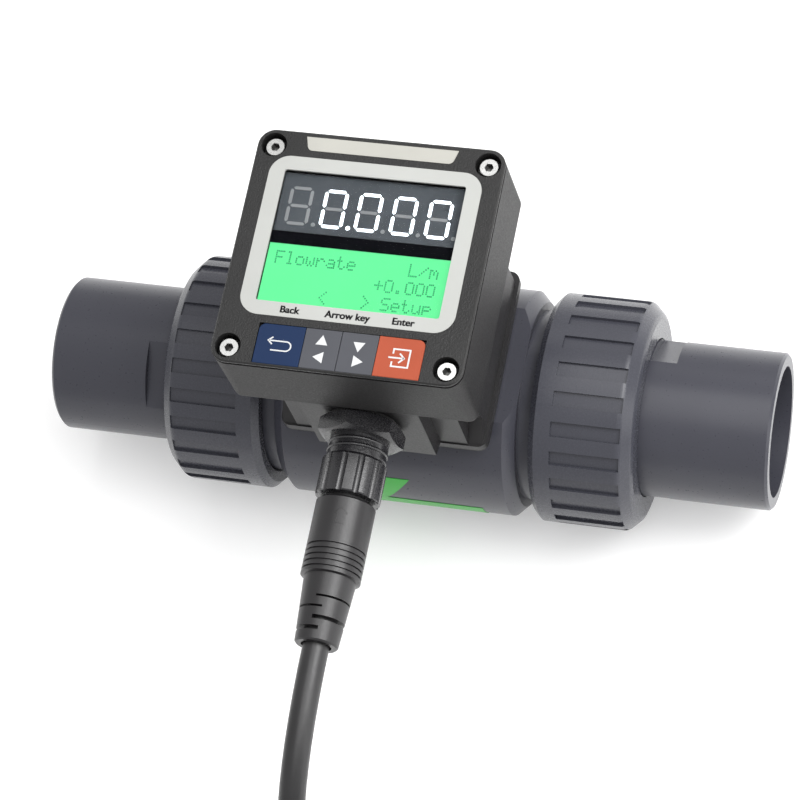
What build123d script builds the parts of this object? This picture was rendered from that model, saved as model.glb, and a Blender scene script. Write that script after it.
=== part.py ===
"""Inline paddle-wheel flow meter: a plastic pipe fitting with a union at each end, a square
display head on top and a moulded cable connector below the display.

Modelling frame, in millimetres: X along the pipe, Y towards the top edge of the display, Z out of
the display. The origin while modelling is on the pipe axis under the middle of the head. On export
everything moves along X, so that the origin is at the mouth of the inlet socket, at the +X end.
"""
from build123d import *
import math
import os

# Pipe line
overall_length = 282.0
socket_bore_radius = 25.0
socket_outer_radius = 30.0
socket_depth = 31.0
socket_edge_chamfer = 1.0
flow_bore_radius = 20.0
body_radius = 43.5
body_half_length = 47.0
body_chamfer = 4.0
body_thread_step = 7.0
body_thread_length = 29.0
body_thread_chamfer = 1.0
thread_clearance = 0.05
flat_depth = 6.9

# Union nuts and end connectors
nut_wall = 7.5
nut_gap = 5.6
nut_inner_chamfer = 2.5
nut_slope_length = 4.8
nut_slope_drop = 4.0
nut_slope_round = 3.0
nut_rim_length = 0.7
nut_rim_drop = 2.0
nut_rim_round = 2.0
nut_shoulder = 7.4
nut_grip_count = 24
nut_grip_start = 8.6
nut_grip_end = 4.4
nut_grip_depth = 1.3
nut_grip_width = 5.7
inlet_grip_turn = 2.75
outlet_grip_turn = 7.5
collar_step = 0.5
collar_length = 8.3
collar_clearance = 0.3
socket_clearance = 0.5
wrench_flat_depth = 3.0
wrench_flat_length = 9.9
wrench_flat_gap = 0.3
inlet_flat_turn = 139.0
outlet_flat_turn = 57.0
seal_land = 7.0
seal_width = 3.0
seal_height = 2.0

# Flow arrow
arrow_thickness = 0.2
arrow_tail = 32.5
arrow_head = 6.0
arrow_tip = 32.0
arrow_axis_drop = 9.8
arrow_shaft_half_width = 6.0
arrow_head_half_width = 22.5
arrow_sweep = 11.0

# Sensor insert and paddle wheel
insert_radius = 16.9
insert_hole_clearance = 0.1
insert_flange_step = 3.0
insert_flange_height = 4.0
insert_wall = 4.4
insert_floor = 2.0
insert_seal_depth = 1.8
insert_seal_width = 2.6
insert_seal_drop = 8.6
wheel_drop = 23.0
wheel_length = 22.0
wheel_side_gap = 0.3
wheel_tip_gap = 0.5
disc_radius = 8.75
disc_thickness = 5.0
disc_edge_round = 1.6
hub_radius = 3.6
hub_height = 0.8
blade_count = 4
blade_crown = 1.55
blade_inner_step = 3.85
blade_thickness = 2.2
blade_slot_step = 2.45
blade_end_bevel = 1.2
axle_radius = 1.5
axle_clearance = 0.05
axle_seat = 3.2
bush_wall = 1.1
magnet_radius = 1.1
magnet_length = 3.0
magnet_edge_gap = 1.65
cheek_reach = 10.1
cheek_edge = 0.8

# Adapter between body and head
gasket_thickness = 1.5
flange_width = 80.0
flange_depth = 72.0
flange_thickness = 3.5
flange_corner = 4.0
gasket_inset = 0.3
tower_height = 42.4
tower_side_step = 7.0
tower_front_step = 0.5
tower_back_step = 3.0
tower_wall = 4.0
wing_side_step = 1.4
wing_top_step = 3.2
wing_foot = 6.0
wing_front_step = 8.0
wing_back_step = 5.0
wing_slope_step = 1.0
wing_slope_height = 9.0
column_half_width = 22.5
column_overhang = 6.0
column_underside_gap = 2.4
column_wall = 3.5
column_side_wall = 3.0
column_roof = 3.0
boss_inset = 8.5
boss_radius = 5.0
boss_depth = 14.0
adapter_screw_x = 16.0
adapter_screw_y = 17.0
adapter_screw_radius = 2.5
adapter_screw_length = 12.0
adapter_screw_head_radius = 4.2
adapter_screw_head_height = 4.5
adapter_screw_hex = 4.0
screw_tip_gap = 1.0

# Display head
head_gasket = 1.0
head_gasket_inset = 0.5
head_width = 92.2
head_draft = 0.3
head_lower_draft = 2.1
head_corner = 6.3
head_back_corner = 3.4
head_depth = 39.0
bezel_rim = 1.2
bezel_edge = 0.5
shadow_gap = 1.2
shadow_depth = 0.5
spigot_depth = 3.6
spigot_clearance = 0.15
housing_wall = 5.2
housing_lower_step = 1.7
housing_floor = 3.0
housing_back_round = 3.0
cover_screw_inset = 6.25
counterbore_radius = 4.75
counterbore_depth = 6.0
sleeve_wall = 0.7
sleeve_floor = 1.5
sleeve_clearance = 0.1
screw_post_radius = 7.0
screw_pocket_step = 1.2
cover_seal_thickness = 0.8
cover_screw_head_radius = 3.6
cover_screw_head_height = 4.0
cover_screw_radius = 2.0
cover_screw_length = 16.0
cover_screw_hex = 3.0
head_screw_length = 13.0
head_screw_head_radius = 3.5
head_screw_head_height = 3.5
lead_hole_radius = 9.0

# Face of the head
plate_side_step = 6.6
plate_top_step = 10.1
plate_bottom_step = 19.3
plate_corner = 7.5
plate_thickness = 0.8
plate_proud = 0.05
window_side_margin = 5.8
window_top_margin = 5.4
window_bottom_margin = 5.5
window_corner = 1.0
lens_margin = 2.8
lens_thickness = 1.5
seat_margin = 0.1
lcd_height = 24.0
bar_width = 4.6
module_clearance = 0.2
module_step = 0.1
module_setback = 0.4
lcd_glass = 0.8
label_top_step = 1.9
label_height = 5.4
label_side_step = 17.8
label_slant = 1.5
label_corner = 2.0
label_thickness = 0.5
label_proud = 0.1
digit_count = 5
digit_side_margin = 1.3
digit_gap = 4.2
digit_shift = 0.3
digit_margin_top = 5.3
digit_margin_bottom = 2.8
digit_stroke = 1.2
digit_bar_gap = 0.4
segment_height = 0.2
point_radius = 0.8
point_gap = 2.15

# Keys
key_row_left_step = 16.1
key_row_right_step = 15.1
key_line_shares = (0.0, 0.281, 0.5, 0.721, 1.0)
key_row_plate_gap = 3.1
key_height = 15.3
key_gap = 0.2
key_corner = 2.5
key_edge = 0.15
key_thickness = 1.3
key_travel = 0.45
key_setback = 0.1
key_floor_gap = 0.15
stem_radius = 1.5
stem_clearance = 0.05
stem_drop = 5.6
stem_length = 5.7
switch_size = 6.0
switch_button_radius = 1.7
switch_button_height = 0.7
switch_gap = 0.15

# Boards inside the head
board_thickness = 1.6
display_board_drop = 11.0
display_board_gap = 0.8
display_board_top_step = 7.7
display_board_low_step = 9.2
display_board_low_inset = 8.4
display_boss_inset = 2.2
display_boss_high_inset = 2.5
display_boss_low_inset = 10.5
display_boss_radius = 2.1
main_board_lift = 7.0
main_board_gap = 5.8
standoff_radius = 3.2
standoff_inset = 2.9
standoff_y = 10.0
board_screw_radius = 1.2
board_hole_clearance = 0.1
board_screw_head_radius = 2.2
board_screw_head_height = 1.6
board_screw_bite = 4.5
board_screw_tip_gap = 0.3
board_part_headroom = 3.8
board_part_inset = 9.4
capacitor_radius = 4.0
capacitor_x = 18.0
capacitor_y = 1.0
capacitor_pitch = 11.0
choke_size = 12.0
chip_size = 12.0
chip_height = 1.6
terminal_length = 24.0
terminal_depth = 8.0
terminal_inset = 2.4
board_link_length = 24.0
board_link_width = 5.0
board_link_inset = 9.4
sensor_board_width = 10.0
sensor_board_gap = 0.1
sensor_board_top_gap = 2.0
sensor_socket_depth = 3.0
sensor_socket_wall = 2.0
hall_sensor_width = 4.4
hall_sensor_depth = 3.2
hall_sensor_height = 1.5

# Connector and cable. Stations are distances out from the front of the adapter's column.
connector_drop = 14.0
washer_thickness = 0.8
washer_radius = 13.0
hex_across_flats = 28.0
hex_length = 7.6
hex_edge = 1.6
hex_turn = 8.0
neck_radius = 10.9
neck_gap = 0.4
neck_edge = 0.4
barrel_radius = 9.65
barrel_reach = 24.0
barrel_edge = 0.6
barrel_bore = 7.5
barrel_depth = 14.0
rear_thread_radius = 7.9
rear_clearance = 0.2
rear_length = 12.0
rear_bore = 6.0
lock_nut_across_flats = 20.0
lock_nut_length = 4.0
carrier_inset = 2.0
pin_radius = 0.6
pin_circle = 3.4
pin_count = 5
pin_arc = 300.0
pin_out = 9.0
coupling_station = 16.7
coupling_length = 14.5
coupling_radius = 12.0
coupling_edge = 0.4
coupling_shoulder = 3.6
coupling_flutes = 12
coupling_turn = 20.0
flute_radius = 1.4
flute_depth = 0.9
coupling_clearance = 0.05
plug_gap = 1.5
plug_nose_gap = 1.2
plug_nose_radius = 7.3
plug_collar_radius = 9.2
plug_collar_gap = 0.3
plug_neck_radius = 7.9
plug_radius = 11.0
plug_edge = 0.8
plug_ring_station = 51.3
plug_ring_pitch = 2.2
plug_ring_count = 5
plug_ring_width = 0.9
plug_ring_depth = 0.6
relief_station = 62.0
relief_step = 1.4
relief_length = 25.0
relief_end_radius = 8.0
relief_edge = 0.6
relief_recess = 1.5
relief_mouth_gap = 0.7
slot_depth = 2.4
slot_overlap = 1.5
slot_stations = (70.7, 74.5, 78.6, 82.5)
slot_widths = (0.8, 0.8, 1.5, 1.5)
cable_radius = 4.9
coil_radius = 52.0
coil_wraps_wide = 3
coil_wraps_high = 2
tie_thickness = 0.8
tie_width = 6.0
tie_turn = 235.0
tail_length = 50.0
core_count = 5
core_radius = 0.75
core_length = 28.0

# Heights and stations that follow from the sizes above
BOTTOM = (Align.CENTER, Align.CENTER, Align.MIN)
mid_x = -overall_length / 2
half_length = overall_length / 2
flat_height = body_radius - flat_depth
body_thread_radius = body_radius - body_thread_step
body_thread_end = body_half_length + body_thread_length
nut_radius = body_thread_radius + nut_wall
nut_start = body_half_length + nut_gap
collar_radius = body_thread_radius - collar_step
collar_end = body_thread_end + collar_length
shoulder_start = collar_end + collar_clearance
nut_end = shoulder_start + nut_shoulder
seal_radius = body_thread_radius - seal_land - seal_width / 2
wheel_height = flat_height - wheel_drop
blade_tip_radius = disc_radius + blade_crown
insert_roof = wheel_height + blade_tip_radius + wheel_tip_gap
insert_foot = insert_roof + insert_floor
insert_cavity_radius = insert_radius - insert_wall
gasket_top = flat_height + gasket_thickness
flange_top = gasket_top + flange_thickness
adapter_top = flange_top + tower_height
tower_half_width = flange_width / 2 - tower_side_step
tower_front = flange_depth / 2 - tower_front_step
tower_back = flange_depth / 2 - tower_back_step
column_front = flange_depth / 2 + column_overhang
boss_x = tower_half_width - boss_inset
boss_y = tower_back - boss_inset
housing_back = adapter_top + head_gasket
housing_seat = housing_back + housing_floor
face_height = housing_back + head_depth
head_half = head_width / 2
rim_low = face_height - bezel_rim
housing_top = rim_low - shadow_gap
spigot_bottom = housing_top - spigot_depth
seal_seat = spigot_bottom - cover_seal_thickness
cavity_half_width = head_half - housing_wall
lower_half_width = cavity_half_width - housing_lower_step
screw_half = head_half - cover_screw_inset
sleeve_radius = counterbore_radius + sleeve_wall
sleeve_bottom = face_height - counterbore_depth - sleeve_floor
screw_pocket_radius = screw_post_radius + screw_pocket_step
plate_seat = face_height + plate_proud - plate_thickness
plate_half_width = head_half - plate_side_step
plate_top = head_half - plate_top_step
plate_bottom = plate_bottom_step - head_half
window_half_width = plate_half_width - window_side_margin
window_top = plate_top - window_top_margin
window_bottom = plate_bottom + window_bottom_margin
bar_low = window_bottom + lcd_height
bar_top = bar_low + bar_width
lens_seat = plate_seat - lens_thickness
module_front = lens_seat - module_setback
module_half_width = window_half_width + module_step
digit_pitch = 2 * (window_half_width - digit_side_margin) / digit_count
digit_width = digit_pitch - digit_gap
digit_height = window_top - bar_top - digit_margin_top - digit_margin_bottom
key_left = key_row_left_step - head_half
key_right = head_half - key_row_right_step
key_edges = [key_left + share * (key_right - key_left) for share in key_line_shares]
key_top = plate_bottom - key_row_plate_gap
key_bottom = key_top - key_height
key_floor = face_height - key_setback - key_thickness - key_travel - key_floor_gap
stem_y = key_top - stem_drop
stem_end = face_height - key_setback - key_thickness - stem_length
display_board_top = face_height - display_board_drop
display_board_low = display_board_top - board_thickness
display_board_half_width = lower_half_width - display_board_gap
display_board_top_y = lower_half_width - display_board_top_step
display_board_step_y = display_board_low_step - lower_half_width
display_board_bottom_y = -display_board_half_width
display_board_low_half_width = display_board_half_width - display_board_low_inset
main_board_low = housing_seat + main_board_lift
main_board_top = main_board_low + board_thickness
main_board_half_width = lower_half_width - main_board_gap
sensor_slot_roof = main_board_low - sensor_board_top_gap
standoff_x = main_board_half_width - standoff_inset
connector_height = adapter_top - connector_drop
hex_start = column_front + washer_thickness
hex_end = hex_start + hex_length
rear_end = column_front - rear_length
barrel_end = column_front + barrel_reach
barrel_floor = barrel_end - barrel_depth
coupling_start = column_front + coupling_station
neck_end = coupling_start - neck_gap
coupling_end = coupling_start + coupling_length
coupling_seat = coupling_end - coupling_shoulder
plug_body_start = coupling_end + plug_gap
relief_start = column_front + relief_station
relief_end = relief_start + relief_length
cable_start = relief_end - relief_recess
floor_height = -nut_radius
cable_floor = floor_height + cable_radius


def rod_x(radius, x0, x1, y=0.0, z=0.0):
    """Cylinder along X between two stations."""
    return Pos(x0, y, z) * Rot(0, 90, 0) * Cylinder(radius, x1 - x0, align=BOTTOM)


def rod_y(radius, y0, y1, x=0.0, z=0.0):
    """Cylinder along Y between two stations."""
    return Pos(x, y0, z) * Rot(-90, 0, 0) * Cylinder(radius, y1 - y0, align=BOTTOM)


def rod_z(radius, z0, z1, x=0.0, y=0.0):
    """Cylinder along Z between two heights."""
    return Pos(x, y, z0) * Cylinder(radius, z1 - z0, align=BOTTOM)


def block(x0, x1, y0, y1, z0, z1):
    """Box between two corners."""
    middle = Pos((x0 + x1) / 2, (y0 + y1) / 2, (z0 + z1) / 2)
    return middle * Box(x1 - x0, y1 - y0, z1 - z0)


def plate(width, depth, corner, z0, z1, x=0.0, y=0.0):
    """Flat plate with round corners, between two heights."""
    return extrude(Pos(x, y, z0) * RectangleRounded(width, depth, corner), amount=z1 - z0)


def corner_plate(x0, x1, y0, y1, corner, z0, z1):
    """Flat plate with round corners, given by its edges."""
    return plate(x1 - x0, y1 - y0, corner, z0, z1, (x0 + x1) / 2, (y0 + y1) / 2)


def turned_x(points):
    """Solid of revolution about the pipe axis from (x, radius) points."""
    return revolve(make_face(Polyline(*points, close=True)), axis=Axis.X)


def turned_y(points):
    """Solid of revolution about the connector axis from (radius, distance out) points."""
    outline = [(radius, -out) for radius, out in points]
    return Pos(0, 0, connector_height) * revolve(make_face(Polyline(*outline, close=True)), axis=Axis.Y)


def at_corners(half_x, half_y):
    """The four corners of a rectangle about the origin."""
    return [(sx * half_x, sy * half_y) for sx in (-1, 1) for sy in (-1, 1)]


def group(solids):
    """Separate solids that share one node."""
    return Compound(children=list(solids))


# Pipe fitting

def seal_groove(side):
    """Ring-shaped groove in the end face of the body, for a face seal."""
    low = body_thread_end - seal_height
    ring = rod_x(seal_radius + seal_width / 2, low, body_thread_end)
    ring -= rod_x(seal_radius - seal_width / 2, low, body_thread_end)
    return ring if side > 0 else Rot(0, 0, 180) * ring


def make_body():
    """Body with its threaded ends, the sensor port and the flat that carries the adapter."""
    thread_edge = body_thread_radius - body_thread_chamfer
    half = [
        (body_half_length - body_chamfer, body_radius), (body_half_length, body_radius - body_chamfer),
        (body_half_length, body_thread_radius), (body_thread_end - body_thread_chamfer, body_thread_radius),
        (body_thread_end, thread_edge), (body_thread_end, 0),
    ]
    body = turned_x([(-x, radius) for x, radius in reversed(half)] + half)
    body -= block(-body_half_length, body_half_length, -body_radius, body_radius, flat_height, body_radius)
    body -= rod_x(flow_bore_radius, -body_thread_end, body_thread_end)
    body -= rod_z(insert_radius + insert_hole_clearance, 0, body_radius)
    flange_hole = insert_radius + insert_flange_step + insert_hole_clearance
    body -= rod_z(flange_hole, flat_height - insert_flange_height, body_radius)
    for x, y in at_corners(adapter_screw_x, adapter_screw_y):
        tip = flange_top - adapter_screw_length - screw_tip_gap
        body -= rod_z(adapter_screw_radius, tip, flat_height, x, y)
    for side in (-1, 1):
        body -= seal_groove(side)
    return body


def make_face_seal(side):
    """Seal ring that fills the groove in the end face."""
    ring = seal_groove(side)
    return fillet(ring.edges().filter_by(GeomType.CIRCLE), seal_height * 0.35)


def make_end_connector(side):
    """Socket end with the collar that the union nut holds against the body."""
    step = half_length - socket_depth
    outline = [
        (body_thread_end, flow_bore_radius), (body_thread_end, collar_radius),
        (collar_end, collar_radius), (collar_end, socket_outer_radius),
        (half_length - socket_edge_chamfer, socket_outer_radius),
        (half_length, socket_outer_radius - socket_edge_chamfer), (half_length, socket_bore_radius),
        (step, socket_bore_radius), (step, flow_bore_radius),
    ]
    end = turned_x(outline)
    turn = inlet_flat_turn if side > 0 else outlet_flat_turn
    flat_start = nut_end + wrench_flat_gap
    cut = block(flat_start, flat_start + wrench_flat_length, -socket_outer_radius, socket_outer_radius,
                socket_outer_radius - wrench_flat_depth, socket_outer_radius + 1)
    for flip in (0, 180):
        tilt = 90 - turn if side > 0 else turn - 90
        end -= Rot(tilt + flip, 0, 0) * cut
    return end if side > 0 else Rot(0, 0, 180) * end


def make_union_nut(side):
    """Union nut with a moulded grip of shallow recesses and a smooth band at each end."""
    hole = socket_outer_radius + socket_clearance
    bore = body_thread_radius + thread_clearance
    slope_start, rim_start = nut_end - nut_slope_length, nut_end - nut_rim_length
    slope_radius = nut_radius - nut_slope_drop
    outline = [
        (nut_start, bore + 1), (nut_start, nut_radius - nut_inner_chamfer),
        (nut_start + nut_inner_chamfer, nut_radius), (slope_start, nut_radius),
        (rim_start, slope_radius), (nut_end, slope_radius - nut_rim_drop),
        (nut_end, hole), (shoulder_start, hole), (shoulder_start, bore), (nut_start + 1, bore),
    ]
    nut = turned_x(outline)
    for station, size in ((slope_start, nut_slope_round), (rim_start, nut_rim_round)):
        nut = fillet(nut.edges().filter_by(lambda e: abs(e.center().X - station) < 0.01), size)
    recess = block(nut_start + nut_grip_start, nut_end - nut_grip_end, -nut_grip_width / 2,
                   nut_grip_width / 2, nut_radius - nut_grip_depth, nut_radius + 1)
    pitch = 360 / nut_grip_count
    turn = inlet_grip_turn if side > 0 else outlet_grip_turn
    nut -= [Rot(k * pitch + turn, 0, 0) * recess for k in range(nut_grip_count)]
    return nut if side > 0 else Rot(0, 0, 180) * nut


def make_flow_arrow():
    """Arrow on the front of the body that points the way the flow runs, towards the outlet."""
    barb = arrow_head - arrow_sweep
    shaft_low = -arrow_axis_drop - arrow_shaft_half_width
    shaft_high = -arrow_axis_drop + arrow_shaft_half_width
    outline = [
        (arrow_tail, shaft_low), (arrow_tail, shaft_high), (barb, shaft_high),
        (arrow_head, -arrow_axis_drop + arrow_head_half_width),
        (barb, -arrow_axis_drop + arrow_head_half_width), (-arrow_tip, -arrow_axis_drop),
        (barb, -arrow_axis_drop - arrow_head_half_width),
        (arrow_head, -arrow_axis_drop - arrow_head_half_width), (barb, shaft_low),
    ]
    sketch = make_face(Polyline(*outline, close=True))
    prism = extrude(Plane.XZ * sketch, amount=body_radius + 2)
    skin = rod_x(body_radius + arrow_thickness, -arrow_tip, arrow_tail)
    skin -= rod_x(body_radius, -arrow_tip - 1, arrow_tail + 1)
    return prism & skin


# Sensor

def make_insert():
    """Plug that closes the port, holds the electronics dry and carries the paddle wheel."""
    cheek_bottom = wheel_height - cheek_reach
    insert = rod_z(insert_radius, cheek_bottom, flat_height)
    insert += rod_z(insert_radius + insert_flange_step, flat_height - insert_flange_height, flat_height)
    half_gap = wheel_length / 2 + wheel_side_gap
    insert -= block(-insert_radius - 1, insert_radius + 1, -half_gap, half_gap, cheek_bottom - 1, insert_roof)
    insert -= rod_z(insert_cavity_radius, insert_foot, flat_height + 1)
    groove_low = flat_height - insert_seal_drop
    groove = rod_z(insert_radius + 1, groove_low, groove_low + insert_seal_width)
    groove -= rod_z(insert_radius - insert_seal_depth, groove_low, groove_low + insert_seal_width)
    insert -= groove
    insert -= rod_y(axle_radius, -half_gap - axle_seat, insert_radius + 1, 0, wheel_height)
    for y in (-half_gap, half_gap):
        edge = [e for e in insert.edges().filter_by(Axis.X) if abs(e.center().Z - cheek_bottom) < 0.01
                and abs(e.center().Y - y) < 0.01]
        insert = chamfer(edge, cheek_edge)
    return insert


def make_insert_seal():
    """Seal ring in the groove around the insert."""
    section = insert_seal_depth / 2
    ring = Torus(insert_radius - section + insert_hole_clearance / 4, section)
    return Pos(0, 0, flat_height - insert_seal_drop + insert_seal_width / 2) * ring


def blade_profile():
    """Half-moon outline of one blade in the plane of the wheel axis: (along the axis, radius)."""
    half = wheel_length / 2
    inner = half - disc_thickness
    slot = disc_radius - blade_slot_step
    root = disc_radius - blade_inner_step
    arc = ThreePointArc((-half, disc_radius), (0, blade_tip_radius), (half, disc_radius))
    rest = Polyline((half, disc_radius), (half - blade_end_bevel, slot), (inner, slot),
                    (inner, root), (-inner, root), (-inner, slot),
                    (-half + blade_end_bevel, slot), (-half, disc_radius))
    return make_face(arc + rest)


def blade_at(turn):
    """One blade, standing out along a direction about the wheel axis."""
    flat = extrude(Plane.YZ * blade_profile(), amount=blade_thickness / 2, both=True)
    return Pos(0, 0, wheel_height) * Rot(0, turn, 0) * flat


def blade_turns():
    """Directions of the blades about the wheel axis."""
    return [45 + k * 360 / blade_count for k in range(blade_count)]


def make_blades():
    """The four blades of the paddle wheel, set into the two discs."""
    return group([blade_at(turn) for turn in blade_turns()])


def magnet_at(side, turn):
    """One magnet, flush with the inner face of a disc."""
    inner = wheel_length / 2 - disc_thickness
    y0, y1 = sorted((side * inner, side * (inner + magnet_length)))
    angle = math.radians(turn)
    circle = disc_radius - magnet_edge_gap - magnet_radius
    return rod_y(magnet_radius, y0, y1, circle * math.sin(angle), wheel_height + circle * math.cos(angle))


def make_magnets():
    """Magnets that the sensor counts as the wheel turns."""
    return group([magnet_at(side, turn) for side in (-1, 1) for turn in (0, 180)])


def make_disc(side):
    """End disc with a rounded outer edge, a hub boss, a hole for its bush and slots for the blades."""
    half = wheel_length / 2
    inner = half - disc_thickness
    face = half - hub_height
    bush_radius = axle_radius + bush_wall
    wall = Polyline((inner, bush_radius), (inner, disc_radius), (face - disc_edge_round, disc_radius))
    edge = RadiusArc((face - disc_edge_round, disc_radius), (face, disc_radius - disc_edge_round),
                     disc_edge_round)
    hub = Polyline((face, disc_radius - disc_edge_round), (face, hub_radius), (half, hub_radius),
                   (half, bush_radius), (inner, bush_radius))
    disc = revolve(make_face(wall + edge + hub), axis=Axis.X)
    disc = Rot(0, 0, 90) * disc
    disc = disc if side > 0 else Rot(0, 0, 180) * disc
    disc = Pos(0, 0, wheel_height) * disc
    disc -= [blade_at(turn) for turn in blade_turns()]
    disc -= [magnet_at(side, turn) for turn in (0, 180)]
    return disc


def make_bushes():
    """Bearing bushes pressed into the discs."""
    inner = wheel_length / 2 - disc_thickness
    bush = rod_y(axle_radius + bush_wall, inner, wheel_length / 2, 0, wheel_height)
    bush -= rod_y(axle_radius + axle_clearance, inner, wheel_length / 2, 0, wheel_height)
    return group([bush, Rot(0, 0, 180) * bush])


def make_axle():
    """Fixed axle between the two cheeks of the insert."""
    half_gap = wheel_length / 2 + wheel_side_gap
    pin = rod_y(axle_radius, -half_gap - axle_seat, half_gap + axle_seat, 0, wheel_height)
    return chamfer(pin.edges(), 0.3)


def make_hall_sensor():
    """Magnetic sensor on the foot of the sensor board."""
    half, depth = hall_sensor_width / 2, hall_sensor_depth / 2
    return block(-half, half, -depth, depth, insert_foot, insert_foot + hall_sensor_height)


def make_sensor_board():
    """Upright board from the foot of the insert to the main board in the head."""
    half = sensor_board_width / 2
    low = insert_foot + hall_sensor_height
    return block(-half, half, -board_thickness / 2, board_thickness / 2, low, sensor_slot_roof)


def make_sensor_socket():
    """Socket under the main board that takes the top of the sensor board."""
    half = sensor_board_width / 2
    outer = half + sensor_socket_wall
    low = sensor_slot_roof - sensor_socket_depth
    body = block(-outer, outer, -sensor_socket_depth, sensor_socket_depth, low, main_board_low)
    slot_half = board_thickness / 2 + sensor_board_gap
    body -= block(-half - sensor_board_gap, half + sensor_board_gap, -slot_half, slot_half,
                  low, sensor_slot_roof)
    return body


# Adapter

def make_adapter_gasket():
    """Flat gasket between the body and the adapter."""
    sheet = plate(flange_width - 2 * gasket_inset, flange_depth - 2 * gasket_inset, flange_corner,
                  flat_height, gasket_top)
    sheet -= rod_z(insert_cavity_radius, flat_height, gasket_top)
    for x, y in at_corners(adapter_screw_x, adapter_screw_y):
        sheet -= rod_z(adapter_screw_radius, flat_height, gasket_top, x, y)
    return sheet


def prism_y(points, y0, y1):
    """Prism along Y from (x, z) points."""
    face = make_face(Polyline(*points, close=True))
    return Pos(0, y1, 0) * extrude(Plane.XZ * face, amount=y1 - y0)


def prism_x(points, x0, x1):
    """Prism along X from (y, z) points."""
    face = make_face(Polyline(*points, close=True))
    return Pos(x0, 0, 0) * extrude(Plane.YZ * face, amount=x1 - x0)


def make_adapter():
    """Moulded base of the head: flange, hollow tower with stepped corners, and connector column."""
    base = plate(flange_width, flange_depth, flange_corner, gasket_top, flange_top)
    base += block(-tower_half_width, tower_half_width, -tower_front, tower_back, flange_top, adapter_top)
    wing_x = flange_width / 2 - wing_side_step
    wing_top_x = flange_width / 2 - wing_top_step
    wing = [(-wing_x, flange_top), (wing_x, flange_top), (wing_x, flange_top + wing_foot),
            (wing_top_x, adapter_top), (-wing_top_x, adapter_top), (-wing_x, flange_top + wing_foot)]
    wing_foot_front, wing_front = wing_slope_step - flange_depth / 2, wing_front_step - flange_depth / 2
    wing_back = flange_depth / 2 - wing_back_step
    lean = [(wing_foot_front, flange_top), (wing_back, flange_top), (wing_back, adapter_top),
            (wing_front, adapter_top), (wing_front, flange_top + wing_slope_height)]
    base += prism_y(wing, wing_foot_front, wing_back) & prism_x(lean, -wing_x, wing_x)
    inner_front = tower_front - tower_wall
    column_underside = flange_top + column_underside_gap
    column = [(-inner_front, flange_top), (-tower_front - 0.5, flange_top),
              (-column_front, column_underside), (-column_front, adapter_top), (-inner_front, adapter_top)]
    base += prism_x(column, -column_half_width, column_half_width)
    inner_x = tower_half_width - tower_wall
    base -= block(-inner_x, inner_x, -inner_front, tower_back - tower_wall, flange_top, adapter_top)
    column_x = column_half_width - column_side_wall
    base -= block(-column_x, column_x, -column_front + column_wall, -inner_front,
                  column_underside + 1, adapter_top - column_roof)
    for x, y in at_corners(boss_x, boss_y):
        base += rod_z(boss_radius, flange_top, adapter_top, x, y)
        base -= rod_z(cover_screw_radius, adapter_top - boss_depth, adapter_top, x, y)
    base -= rod_z(insert_cavity_radius, gasket_top, flange_top)
    for x, y in at_corners(adapter_screw_x, adapter_screw_y):
        base -= rod_z(adapter_screw_radius, gasket_top, flange_top, x, y)
    hole = rear_thread_radius + rear_clearance
    base -= rod_y(hole, -column_front, -column_front + column_wall, 0, connector_height)
    return base


def cap_screw(radius, length, head_radius, head_height, hex_flats, x, y, seat, up=True):
    """Socket-head cap screw with its head on a seat."""
    head = rod_z(head_radius, 0, head_height)
    head = chamfer(head.edges().group_by(Axis.Z)[-1], 0.3)
    socket = extrude(RegularPolygon(hex_flats / 2, 6, major_radius=False), amount=head_height * 0.6)
    head -= Pos(0, 0, head_height * 0.4) * socket
    screw = head + rod_z(radius, -length, 0)
    turned = screw if up else Rot(180, 0, 0) * screw
    return Pos(x, y, seat) * turned


def make_adapter_screws():
    """Screws that hold the adapter on the body."""
    places = at_corners(adapter_screw_x, adapter_screw_y)
    return group([cap_screw(adapter_screw_radius, adapter_screw_length, adapter_screw_head_radius,
                            adapter_screw_head_height, adapter_screw_hex, x, y, flange_top)
                  for x, y in places])


# Head

def cavity_outline(half, pocket):
    """Square opening with its corners left solid around the cover screws."""
    shape = Rectangle(2 * half, 2 * half)
    return shape - [Pos(x, y) * Circle(pocket) for x, y in at_corners(screw_half, screw_half)]


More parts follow.
